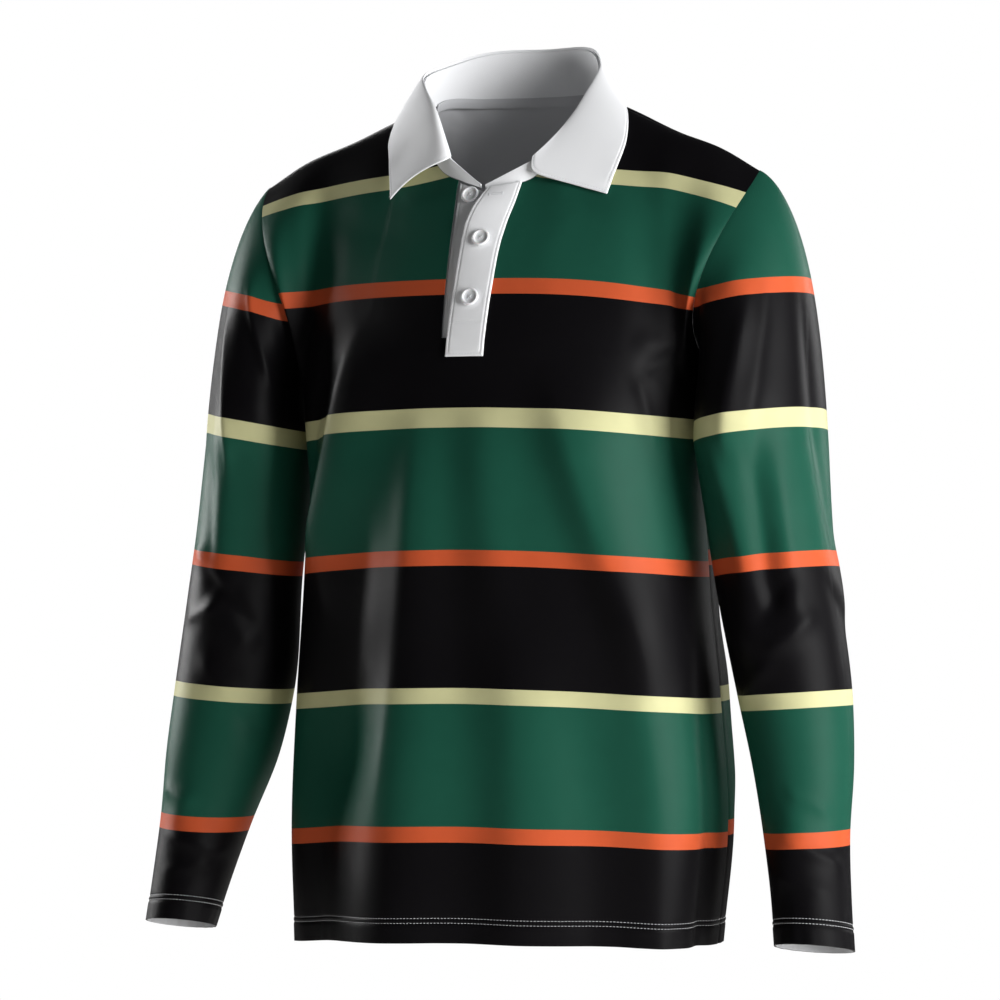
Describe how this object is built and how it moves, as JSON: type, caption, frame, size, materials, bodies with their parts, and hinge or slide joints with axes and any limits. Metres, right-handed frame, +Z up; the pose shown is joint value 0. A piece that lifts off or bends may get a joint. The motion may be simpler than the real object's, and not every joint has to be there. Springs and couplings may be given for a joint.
{
  "type": "rugby shirt",
  "caption": "Hollow long-sleeved rugby shirt in wide-set hoops, with a white turn-down collar and a buttoned placket, filled out as if worn.",
  "frame": {"origin": "midway between the two neck points, where the shoulder seams meet the collar and the wearer's shoulders carry the shirt", "axes": "+Z up, the chest faces -Y, +X is the wearer's left"},
  "size_m": [0.6487, 0.2435, 0.7877],
  "materials": {
    "jersey": "smooth polyester jersey, hooped in dark green and black with cream and orange lines, soft sheen",
    "white_twill": "matt white cotton-rich twill with edge stitching",
    "button": "moulded white plastic, slightly glossy"
  },
  "bodies": {
    "root": {"front": "jersey", "back": "jersey", "sleeve_left": "jersey", "sleeve_right": "jersey", "collar_stand": "white_twill", "collar_fall": "white_twill", "placket_band": "white_twill", "placket_under_band": "white_twill", "neck_tape": "white_twill", "button_top": "button", "button_middle": "button", "button_bottom": "button"}
  },
  "joints": []
}
